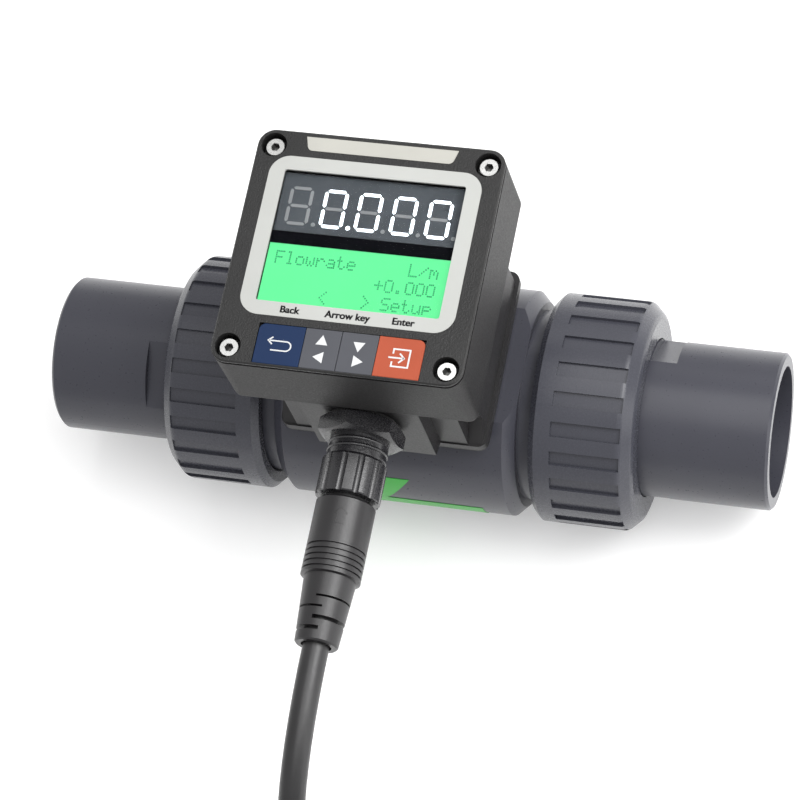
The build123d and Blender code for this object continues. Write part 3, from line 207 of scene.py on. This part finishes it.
def spread(made, fac, low, high):
    """Value that follows a noise between two limits."""
    node = made.node_tree.nodes.new("ShaderNodeMapRange")
    node.inputs["From Min"].default_value = NOISE_LOW
    node.inputs["From Max"].default_value = NOISE_HIGH
    node.inputs["To Min"].default_value = low
    node.inputs["To Max"].default_value = high
    made.node_tree.links.new(fac, node.inputs["Value"])
    return node.outputs["Result"]


def tint(made, shader, fac, dark, light):
    """Base colour that wanders between two colours."""
    ramp = made.node_tree.nodes.new("ShaderNodeValToRGB")
    ramp.color_ramp.elements[0].position = NOISE_LOW
    ramp.color_ramp.elements[1].position = NOISE_HIGH
    ramp.color_ramp.elements[0].color = (*dark, 1)
    ramp.color_ramp.elements[1].color = (*light, 1)
    made.node_tree.links.new(fac, ramp.inputs["Fac"])
    made.node_tree.links.new(ramp.outputs["Color"], shader.inputs["Base Color"])


def bump(made, shader, fac, distance, strength=1.0, before=None):
    """Relief from a noise, on top of any relief before it."""
    links = made.node_tree.links
    node = made.node_tree.nodes.new("ShaderNodeBump")
    node.inputs["Strength"].default_value = strength
    node.inputs["Distance"].default_value = distance
    links.new(fac, node.inputs["Height"])
    if before:
        links.new(before, node.inputs["Normal"])
    links.new(node.outputs["Normal"], shader.inputs["Normal"])
    return node.outputs["Normal"]


def shade(color, factor):
    """The colour, darker or lighter by a factor."""
    return tuple(c * factor for c in color)


def plastic(name, color, roughness, grain, depth, vary=0.12, gloss=0.06, specular=0.5):
    """Moulded plastic with a fine grain. vary is the drift of its colour, gloss that of its roughness."""
    made, shader = material(name, color, roughness)
    shader.inputs["Specular IOR Level"].default_value = specular
    slow = noise(made, 45, 4)
    tint(made, shader, slow, shade(color, 1 - vary), shade(color, 1 + vary))
    fine = noise(made, grain, 3)
    rough = spread(made, fine, roughness - gloss, roughness + gloss)
    made.node_tree.links.new(rough, shader.inputs["Roughness"])
    first = bump(made, shader, slow, depth * 3, 0.35)
    bump(made, shader, fine, depth, 1.0, first)
    return made


def metal(name, color, roughness):
    """Turned or drawn metal with fine marks."""
    made, shader = material(name, color, roughness, 1.0)
    marks = noise(made, 900, 5, 0.6)
    rough = spread(made, marks, roughness * 0.7, roughness * 1.4)
    made.node_tree.links.new(rough, shader.inputs["Roughness"])
    tint(made, shader, noise(made, 260, 3), shade(color, 0.85), color)
    bump(made, shader, marks, 0.00002, 0.6)
    return made


def paint_shade_below(made, low, high, share):
    """Lets the base colour fall to a share of itself below a height: painted shade down in a deep socket.
    """
    nodes, links = made.node_tree.nodes, made.node_tree.links
    shader = nodes["Principled BSDF"]
    source = shader.inputs["Base Color"].links[0].from_socket
    coordinates = nodes.new("ShaderNodeTexCoord")
    parts = nodes.new("ShaderNodeSeparateXYZ")
    height = nodes.new("ShaderNodeMapRange")
    height.inputs["From Min"].default_value = low / 1000
    height.inputs["From Max"].default_value = high / 1000
    height.inputs["To Min"].default_value = share
    height.inputs["To Max"].default_value = 1.0
    scaled = nodes.new("ShaderNodeVectorMath")
    scaled.operation = "SCALE"
    links.new(coordinates.outputs["Object"], parts.inputs["Vector"])
    links.new(parts.outputs["Z"], height.inputs["Value"])
    links.new(source, scaled.inputs[0])
    links.new(height.outputs["Result"], scaled.inputs["Scale"])
    links.new(scaled.outputs["Vector"], shader.inputs["Base Color"])


def glow(name, color, strength, vary=0.05, own=1.0):
    """Lit surface, a little uneven. own is how much of the colour it has when it is off."""
    made, shader = material(name, color)
    shader.inputs["Specular IOR Level"].default_value = 0.0
    tint(made, shader, noise(made, 60, 2), shade(color, own * (1 - vary)), shade(color, own))
    shader.inputs["Emission Color"].default_value = (*color, 1)
    shader.inputs["Emission Strength"].default_value = strength
    return made


def make_glass():
    """Clear window with an anti-glare coat."""
    made, shader = material("window_clear", (0.97, 0.98, 0.98), 0.02)
    shader.inputs["Transmission Weight"].default_value = 1.0
    shader.inputs["IOR"].default_value = 1.04
    haze = noise(made, 70, 2)
    made.node_tree.links.new(spread(made, haze, 0.0, 0.02), shader.inputs["Roughness"])
    return made


# Pipe line
pvc = plastic("pvc", (0.041, 0.0415, 0.052), roughness=0.3, grain=900, depth=0.000004,
              vary=0.03, gloss=0.03, specular=0.3)
pvc_nut = plastic("pvc_nut", (0.042, 0.043, 0.0535), roughness=0.27, grain=900, depth=0.000003,
                  vary=0.03, gloss=0.03, specular=0.35)
rubber = plastic("rubber", (0.008, 0.008, 0.008), roughness=0.7, grain=1600, depth=0.00003,
                 vary=0.2, gloss=0.05)
arrow_green = plastic("arrow_green", (0.012, 0.3, 0.016), roughness=0.38, grain=900,
                      depth=0.000006, vary=0.05, gloss=0.04)

# Sensor
insert_black = plastic("insert_black", (0.02, 0.02, 0.022), roughness=0.4, grain=1200,
                       depth=0.00002)
wheel_red = plastic("wheel_red", (0.55, 0.012, 0.016), roughness=0.3, grain=900, depth=0.00001,
                    vary=0.06, gloss=0.05)
wheel_grey = plastic("wheel_grey", (0.1, 0.135, 0.165), roughness=0.35, grain=900, depth=0.00001,
                     vary=0.08, gloss=0.05)
bush_white = plastic("bush_white", (0.6, 0.58, 0.52), roughness=0.4, grain=1200, depth=0.00001)
magnet = metal("magnet", (0.5, 0.5, 0.52), roughness=0.3)

# Head and adapter
adapter_black = plastic("adapter_black", (0.015, 0.0143, 0.015), roughness=0.4, grain=1800,
                        depth=0.00004, vary=0.15, specular=0.3)
head_black = plastic("head_black", (0.0115, 0.011, 0.0112), roughness=0.5, grain=1700,
                     depth=0.00005, vary=0.15, gloss=0.07, specular=0.2)
cover_black = plastic("cover_black", (0.009, 0.0088, 0.0088), roughness=0.44, grain=1500,
                      depth=0.0003, vary=0.3, gloss=0.12, specular=0.4)
plate_white = plastic("plate_white", (0.36, 0.365, 0.35), roughness=0.45, grain=1500,
                      depth=0.000006, vary=0.03, gloss=0.04, specular=0.15)
label_pale = plastic("label_pale", (0.355, 0.35, 0.32), roughness=0.42, grain=1500,
                     depth=0.000006, vary=0.04, gloss=0.04, specular=0.15)
mark_white = plastic("mark_white", (0.5, 0.505, 0.51), roughness=0.45, grain=1500,
                     depth=0.000004, vary=0.03, gloss=0.03)
mark_black = plastic("mark_black", (0.02, 0.02, 0.022), roughness=0.45, grain=1500,
                     depth=0.000004, vary=0.1, gloss=0.03)


def key_plastic(name, color):
    """Satin plastic of the keys."""
    return plastic(name, color, roughness=0.45, grain=1700, depth=0.00001, vary=0.05, gloss=0.04,
                   specular=0.15)


key_blue = key_plastic("key_blue", (0.0075, 0.02, 0.06))
key_grey = key_plastic("key_grey", (0.063, 0.065, 0.074))
key_orange = key_plastic("key_orange", (0.31, 0.063, 0.031))

# Displays and boards
window_clear = make_glass()
digit_face = plastic("digit_face", (0.038, 0.042, 0.047), roughness=0.5, grain=900,
                     depth=0.000006, vary=0.1, gloss=0.04, specular=0.0)
digit_dim = plastic("digit_dim", (0.125, 0.128, 0.132), roughness=0.5, grain=900,
                    depth=0.000006, vary=0.06, gloss=0.04, specular=0.0)
digit_lit = glow("digit_lit", (0.86, 0.92, 0.98), strength=0.85)
strip_black = plastic("strip_black", (0.0025, 0.0026, 0.0034), roughness=0.5, grain=900,
                      depth=0.000004, vary=0.1, gloss=0.04, specular=0.0)
lcd_green = glow("lcd_green", (0.15, 0.9, 0.34), strength=0.85, vary=0.1, own=0.12)
lcd_mark = plastic("lcd_mark", (0.022, 0.2, 0.075), roughness=0.5, grain=900, depth=0.000004,
                   vary=0.1, gloss=0.03, specular=0.0)
lcd_back = plastic("lcd_back", (0.6, 0.6, 0.58), roughness=0.5, grain=900, depth=0.00001)
board_green = plastic("board_green", (0.015, 0.11, 0.035), roughness=0.35, grain=700,
                      depth=0.00001, vary=0.2)
chip_black = plastic("chip_black", (0.014, 0.014, 0.015), roughness=0.45, grain=2000,
                     depth=0.00002, vary=0.2)

# Connector and cable
connector_black = plastic("connector_black", (0.011, 0.0105, 0.0125), roughness=0.27, grain=1300,
                          depth=0.00003, vary=0.15, specular=0.7)
plug_black = plastic("plug_black", (0.012, 0.0112, 0.0122), roughness=0.36, grain=1800,
                     depth=0.00003, vary=0.15)
jacket = plastic("jacket", (0.013, 0.0125, 0.0132), roughness=0.36, grain=1200, depth=0.00003,
                 vary=0.15)
core_red = plastic("core_red", (0.45, 0.05, 0.03), roughness=0.4, grain=1200, depth=0.00001)
gold = metal("gold", (0.8, 0.58, 0.24), roughness=0.25)

# Screws and axle
steel = metal("steel", (0.62, 0.62, 0.61), roughness=0.22)
screw_steel = metal("screw_steel", (0.6, 0.6, 0.59), roughness=0.24)
# Painted shade: the screws' base colour falls to 12 per cent of itself down inside the hex sockets.
paint_shade_below(screw_steel, SCREW_TOP_Z - 0.9, SCREW_TOP_Z - 0.4, share=0.12)

looks = {
    pvc: ["meter_body", "inlet_end_connector", "outlet_end_connector"],
    pvc_nut: ["inlet_union_nut", "outlet_union_nut"],
    rubber: ["inlet_face_seal", "outlet_face_seal", "insert_seal", "adapter_gasket", "head_gasket",
             "cover_seal", "receptacle_washer"],
    arrow_green: ["flow_arrow"],
    insert_black: ["sensor_insert"],
    wheel_grey: ["wheel_blades"],
    wheel_red: ["wheel_disc_back", "wheel_disc_front"],
    magnet: ["wheel_magnets"],
    bush_white: ["wheel_bushes"],
    steel: ["wheel_axle", "adapter_screws", "head_screws", "display_board_screws",
            "main_board_screws"],
    screw_steel: ["cover_screws"],
    chip_black: ["hall_sensor", "sensor_socket", "key_switches", "main_board_parts", "board_link"],
    board_green: ["sensor_board", "display_board", "main_board"],
    adapter_black: ["adapter_base"],
    head_black: ["rear_housing"],
    cover_black: ["front_cover"],
    label_pale: ["blank_label"],
    plate_white: ["frame_plate"],
    window_clear: ["display_window"],
    digit_face: ["digit_module"],
    digit_lit: ["lit_bars"],
    digit_dim: ["dim_bars"],
    lcd_back: ["lcd_body"],
    lcd_green: ["lcd_screen"],
    key_blue: ["back_key"],
    key_grey: ["left_arrow_key", "right_arrow_key"],
    key_orange: ["enter_key"],
    connector_black: ["receptacle", "receptacle_lock_nut", "contact_carrier", "coupling_nut"],
    gold: ["contact_pins"],
    plug_black: ["cable_plug"],
    jacket: ["cable_tie"],
    core_red: ["cable_cores"],
}
for finish, names in looks.items():
    for name in names:
        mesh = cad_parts[name].data
        mesh.materials.clear()
        mesh.materials.append(finish)
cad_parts["display_window"].visible_shadow = False

cable.data.materials.append(jacket)
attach(cable, "meter")
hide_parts("sensor_cable", "cable_coil", "cable_tail")


# Small printed and moulded detail

def add_piece(name, mesh, finish, body="meter"):
    """Piece from a finished mesh, on a body."""
    mesh.materials.append(finish)
    piece = bpy.data.objects.new(name, mesh)
    bpy.context.scene.collection.objects.link(piece)
    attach(piece, body)


def mesh_piece(name, build, finish, body="meter", smooth=False):
    """Piece from a function that fills a bmesh, in millimetres about the middle of the body."""
    bm = bmesh.new()
    build(bm)
    bmesh.ops.recalc_face_normals(bm, faces=bm.faces)
    for vertex in bm.verts:
        vertex.co = P(*vertex.co)
    mesh = bpy.data.meshes.new(name)
    bm.to_mesh(mesh)
    bm.free()
    for face in mesh.polygons:
        face.use_smooth = smooth
    add_piece(name, mesh, finish, body)


def add_block(bm, low_points, high_points):
    """Closed block between two loops with the same number of points."""
    low = [bm.verts.new(point) for point in low_points]
    high = [bm.verts.new(point) for point in high_points]
    bm.faces.new(high)
    bm.faces.new(low[::-1])
    for k in range(len(low)):
        j = (k + 1) % len(low)
        bm.faces.new((low[k], low[j], high[j], high[k]))


def add_prism(bm, outline, z0, z1):
    """Closed prism over an outline in the XY plane."""
    add_block(bm, [(x, y, z0) for x, y in outline], [(x, y, z1) for x, y in outline])


def rectangle(x0, x1, y0, y1):
    """Corners of a rectangle."""
    return [(x0, y0), (x1, y0), (x1, y1), (x0, y1)]


def add_stroke(bm, points, width, z0, z1):
    """Band of even width along a line of points, with mitred corners."""
    half = width / 2
    left, right = [], []
    for k, (x, y) in enumerate(points):
        before = Vector(points[max(k - 1, 0)])
        after = Vector(points[min(k + 1, len(points) - 1)])
        here = Vector((x, y))
        a = (here - before).normalized() if k else (after - here).normalized()
        b = (after - here).normalized() if k < len(points) - 1 else a
        na, nb = Vector((-a.y, a.x)), Vector((-b.y, b.x))
        out = (na + nb).normalized()
        reach = half / max(0.4, out.dot(na))
        left.append(tuple(here + out * reach))
        right.append(tuple(here - out * reach))
    for k in range(len(points) - 1):
        add_prism(bm, [left[k], right[k], right[k + 1], left[k + 1]], z0, z1)


# Dot characters, seven rows of five dots
GLYPHS = {
    "F": "11111 10000 10000 11110 10000 10000 10000",
    "l": "01100 00100 00100 00100 00100 00100 01110",
    "o": "00000 00000 01110 10001 10001 10001 01110",
    "w": "00000 00000 10001 10001 10101 10101 01010",
    "r": "00000 00000 10110 11001 10000 10000 10000",
    "a": "00000 00000 01110 00001 01111 10001 01111",
    "t": "01000 01000 11100 01000 01000 01001 00110",
    "e": "00000 00000 01110 10001 11111 10000 01110",
    "L": "10000 10000 10000 10000 10000 10000 11111",
    "/": "00000 00001 00010 00100 01000 10000 00000",
    "m": "00000 00000 11010 10101 10101 10001 10001",
    "+": "00000 00100 00100 11111 00100 00100 00000",
    "0": "01110 10001 10001 10001 10001 10001 01110",
    ".": "00000 00000 00000 00000 00000 01100 01100",
    "<": "00010 00100 01000 10000 01000 00100 00010",
    ">": "01000 00100 00010 00001 00010 00100 01000",
    "S": "01111 10000 10000 01110 00001 00001 11110",
    "u": "00000 00000 10001 10001 10001 10011 01101",
    "p": "00000 00000 11110 10001 11110 10000 10000",
}
LCD_LINES = ["Flowrate     L/m", "          +0.000", "     <   > Setup"]
TEXT_X, TEXT_Y = -30.4, -0.6  # first dot of the first character
CHARACTER_PITCH, LINE_PITCH = 3.8, 7.05
DOT_PITCH_X, DOT_PITCH_Y = 0.66, 0.74
DOT_HALF_X, DOT_HALF_Y = 0.28, 0.32


def lcd_text(bm):
    """Dot characters of the lower display."""
    for row, line in enumerate(LCD_LINES):
        for column, char in enumerate(line):
            if char != " ":
                left = TEXT_X + column * CHARACTER_PITCH
                add_character(bm, char, left, TEXT_Y - row * LINE_PITCH)


def add_character(bm, char, left, top):
    """The dots of one character."""
    for j, bits in enumerate(GLYPHS[char].split()):
        for i, bit in enumerate(bits):
            if bit == "1":
                x = left + i * DOT_PITCH_X
                y = top - j * DOT_PITCH_Y
                dot = rectangle(x - DOT_HALF_X, x + DOT_HALF_X, y - DOT_HALF_Y, y + DOT_HALF_Y)
                add_prism(bm, dot, MODULE_Z + 0.01, MODULE_Z + 0.05)


mesh_piece("lcd_marks", lcd_text, lcd_mark)


def display_strip(bm):
    """Black strip printed on the back of the window, between the two displays."""
    add_prism(bm, rectangle(-33.9, 33.9, 2.35, 7.2), WINDOW_BACK_Z + 0.01, WINDOW_BACK_Z + 0.03)


mesh_piece("display_strip", display_strip, strip_black)

CAPTION_Y = -24.1
CAPTION_SIZE = 3.7
CAPTION_SPREAD = 0.08  # the letters are doubled, this far to each side, to make them bold


def caption(name, text, x):
    """Printed caption on the frame plate."""
    data = bpy.data.curves.new(name, "FONT")
    data.body = text
    data.align_x = "CENTER"
    data.align_y = "CENTER"
    data.size = CAPTION_SIZE / 1000
    data.extrude = 0.00002
    data.offset = 0.00008
    source = bpy.data.objects.new(name + "_source", data)
    bpy.context.scene.collection.objects.link(source)
    bpy.context.view_layer.update()
    mesh = bpy.data.meshes.new_from_object(source)
    bpy.data.objects.remove(source)
    bm = bmesh.new()
    for shift in (-CAPTION_SPREAD, CAPTION_SPREAD):
        bm.from_mesh(mesh)
        for vertex in bm.verts[-len(mesh.vertices):]:
            vertex.co = vertex.co + P(x + shift, CAPTION_Y, PLATE_Z + 0.01)
    bm.to_mesh(mesh)
    bm.free()
    mesh.materials.clear()
    add_piece(name, mesh, mark_black)


caption("caption_back", "Back", -20.4)
caption("caption_arrows", "Arrow key", 0.9)
caption("caption_enter", "Enter", 21.3)

SYMBOL_Z = (KEY_Z + 0.002, KEY_Z + 0.03)
BACK_STROKE = 0.5
ENTER_STROKE = 0.6
TRIANGLE_R = 2.5


def arc_points(cx, cy, r, a0, a1, steps=12):
    """Points on an arc between two angles in degrees."""
    angles = [math.radians(a0 + (a1 - a0) * k / steps) for k in range(steps + 1)]
    return [(cx + r * math.cos(a), cy + r * math.sin(a)) for a in angles]


def back_symbol(bm):
    """Arrow that turns back to the left."""
    cx, cy = -21.2, -37.3
    line = [(cx - 4.2, cy + 1.1), (cx + 2.4, cy + 1.1)]
    line += arc_points(cx + 2.4, cy - 0.7, 1.8, 85, -90)
    line += [(cx - 3.0, cy - 2.5)]
    head = [(cx - 2.8, cy + 2.5), (cx - 4.4, cy + 1.1), (cx - 2.8, cy - 0.3)]
    for points in (line, head):
        add_stroke(bm, points, BACK_STROKE, *SYMBOL_Z)


def enter_symbol(bm):
    """Box with an arrow into it."""
    cx, cy = 22.8, -37.6
    box = [(cx - 2.7, cy + 1.5), (cx - 2.7, cy + 3.3), (cx + 3.3, cy + 3.3), (cx + 3.3, cy - 3.3),
           (cx - 2.7, cy - 3.3), (cx - 2.7, cy - 1.5)]
    shaft = [(cx - 4.2, cy), (cx + 1.4, cy)]
    head = [(cx - 0.3, cy + 1.8), (cx + 1.5, cy), (cx - 0.3, cy - 1.8)]
    for points in (box, shaft, head):
        add_stroke(bm, points, ENTER_STROKE, *SYMBOL_Z)


def triangle(bm, x, y, turn):
    """Filled triangle that points the way that turn gives, in degrees."""
    angles = [math.radians(turn + a) for a in (0, 120, 240)]
    points = [(x + TRIANGLE_R * math.cos(a), y + TRIANGLE_R * math.sin(a)) for a in angles]
    add_prism(bm, points, *SYMBOL_Z)


def left_symbols(bm):
    """Up and left."""
    triangle(bm, -6.2, -34.6, 90)
    triangle(bm, -6.0, -40.6, 180)


def right_symbols(bm):
    """Down and right."""
    triangle(bm, 7.3, -34.6, -90)
    triangle(bm, 7.4, -40.6, 0)


mesh_piece("back_symbol", back_symbol, mark_white, "back_key_body")
mesh_piece("enter_symbol", enter_symbol, mark_white, "enter_key_body")
mesh_piece("left_symbols", left_symbols, mark_white, "left_arrow_body")
mesh_piece("right_symbols", right_symbols, mark_white, "right_arrow_body")

THREAD_R = 10.9
THREAD_HEIGHT = 0.4
THREAD_PITCH = 2.6
THREAD_START, THREAD_END = 50.4, 58.6
THREAD_ROOT = 0.15  # the foot of the ridge lies this deep in the neck
THREAD_SINK = 0.1  # and so does its crest where the ridge runs out
THREAD_STEPS = 48


def neck_point(along, angle, radius):
    """Point about the connector's axis."""
    return (radius * math.cos(angle), -along, CONNECTOR_Z + radius * math.sin(angle))


def neck_thread(bm):
    """Thread on the panel part of the connector, seen between its hexagon and the coupling nut."""
    steps = int(((THREAD_END - THREAD_START) / THREAD_PITCH - 1) * THREAD_STEPS)
    run_out = THREAD_STEPS / 4
    rings = []
    for k in range(steps + 1):
        along = THREAD_START + THREAD_PITCH * 0.5 + THREAD_PITCH * k / THREAD_STEPS
        angle = 2 * math.pi * k / THREAD_STEPS
        fade = min(1, k / run_out, (steps - k) / run_out)
        root = THREAD_R - THREAD_ROOT
        crest = THREAD_R - THREAD_SINK + (THREAD_HEIGHT + THREAD_SINK) * fade
        profile = ((-0.36, root), (-0.08, crest), (0.08, crest), (0.36, root))
        rings.append([bm.verts.new(neck_point(along + THREAD_PITCH * share, angle, radius))
                      for share, radius in profile])
    for a, b in zip(rings, rings[1:]):
        for k in range(4):
            j = (k + 1) % 4
            bm.faces.new((a[k], a[j], b[j], b[k]))
    bm.faces.new(rings[0][::-1])
    bm.faces.new(rings[-1])


mesh_piece("neck_thread", neck_thread, connector_black, smooth=True)

ARROW_MIDDLE = 1.7
ARROW_TIP, ARROW_WING, ARROW_FOOT = -79.4, -81.7, -85.6
ARROW_WING_HALF, ARROW_SHAFT_HALF = 2.5, 1.4
ARROW_LINE_HALF = 0.16
ARROW_SINK, ARROW_RISE = 0.1, 0.12
ARROW_PIECES = 4  # blocks in each side of the outline, to follow the round plug


def on_plug(point, radius):
    """Point of a flat drawing, wrapped round the top of the plug."""
    angle = point[0] / PLUG_R
    return (radius * math.sin(angle), point[1], CONNECTOR_Z + radius * math.cos(angle))


def plug_arrow(bm):
    """Raised outline of an arrow on the plug, pointing to the meter."""
    half = [(0, ARROW_TIP), (ARROW_WING_HALF, ARROW_WING), (ARROW_SHAFT_HALF, ARROW_WING),
            (ARROW_SHAFT_HALF, ARROW_FOOT)]
    loop = half + [(-x, y) for x, y in half[::-1]]
    outline = [Vector((ARROW_MIDDLE + x, y)) for x, y in loop]
    for start, end in zip(outline, outline[1:]):
        along = (end - start).normalized()
        side = Vector((-along.y, along.x)) * ARROW_LINE_HALF
        for k in range(ARROW_PIECES):
            p = start.lerp(end, k / ARROW_PIECES)
            q = start.lerp(end, (k + 1) / ARROW_PIECES)
            corners = [p + side, p - side, q - side, q + side]
            add_block(bm, [on_plug(corner, PLUG_R - ARROW_SINK) for corner in corners],
                      [on_plug(corner, PLUG_R + ARROW_RISE) for corner in corners])


mesh_piece("plug_arrow", plug_arrow, plug_black)


# Surroundings

FLOOR_HALF = 6.0  # metres
FLOOR_GAP = 0.02
FLOOR_WHITE = 0.8
FLOOR_VARY = 0.01
FLOOR_GLOW = 0.25
WORLD_STRENGTH = 0.8


def grey(value):
    """Neutral colour."""
    return (value, value, value)


def make_floor():
    """White ground that glows a little, as a lit product table does."""
    mesh = bpy.data.meshes.new("floor")
    z = (FLOOR_Z - FLOOR_GAP) / 1000
    corners = rectangle(-FLOOR_HALF, FLOOR_HALF, -FLOOR_HALF, FLOOR_HALF)
    mesh.from_pydata([(x, y, z) for x, y in corners], [], [(0, 1, 2, 3)])
    made, shader = material("floor_white", grey(FLOOR_WHITE), 0.7)
    tint(made, shader, noise(made, 3, 2), grey(FLOOR_WHITE - FLOOR_VARY),
         grey(FLOOR_WHITE + FLOOR_VARY))
    shader.inputs["Specular IOR Level"].default_value = 0.1
    shader.inputs["Emission Color"].default_value = (1, 1, 1, 1)
    shader.inputs["Emission Strength"].default_value = FLOOR_GLOW
    mesh.materials.append(made)
    floor = bpy.data.objects.new("floor", mesh)
    bpy.context.scene.collection.objects.link(floor)


def area_light(name, place, target, size, power):
    """Rectangular light, with its size in metres, turned to a target."""
    data = bpy.data.lights.new(name, "AREA")
    data.shape = "RECTANGLE"
    data.size, data.size_y = size
    data.energy = power
    light = bpy.data.objects.new(name, data)
    light.location = P(*place)
    light.rotation_mode = "QUATERNION"
    light.rotation_quaternion = (P(*target) - P(*place)).to_track_quat("-Z", "Y")
    bpy.context.scene.collection.objects.link(light)


def make_light():
    """Bright even surroundings, with a large light above and three weaker ones round the meter."""
    world = bpy.data.worlds.new("world")
    world.use_nodes = True
    background = world.node_tree.nodes["Background"]
    background.inputs["Color"].default_value = (1, 1, 1, 1)
    background.inputs["Strength"].default_value = WORLD_STRENGTH
    bpy.context.scene.world = world
    area_light("top", place=(300, 100, 1300), target=(20, 0, 40), size=(1.25, 1.2), power=12)
    area_light("key", place=(520, 150, 650), target=(50, 0, 40), size=(0.5, 0.5), power=5)
    area_light("back", place=(100, 1150, 850), target=(0, 0, 30), size=(1.0, 0.4), power=0.7)
    area_light("right", place=(1300, -100, 450), target=(40, 0, 60), size=(0.5, 1.2), power=4)


make_floor()
make_light()
bpy.context.scene.view_settings.view_transform = "Standard"
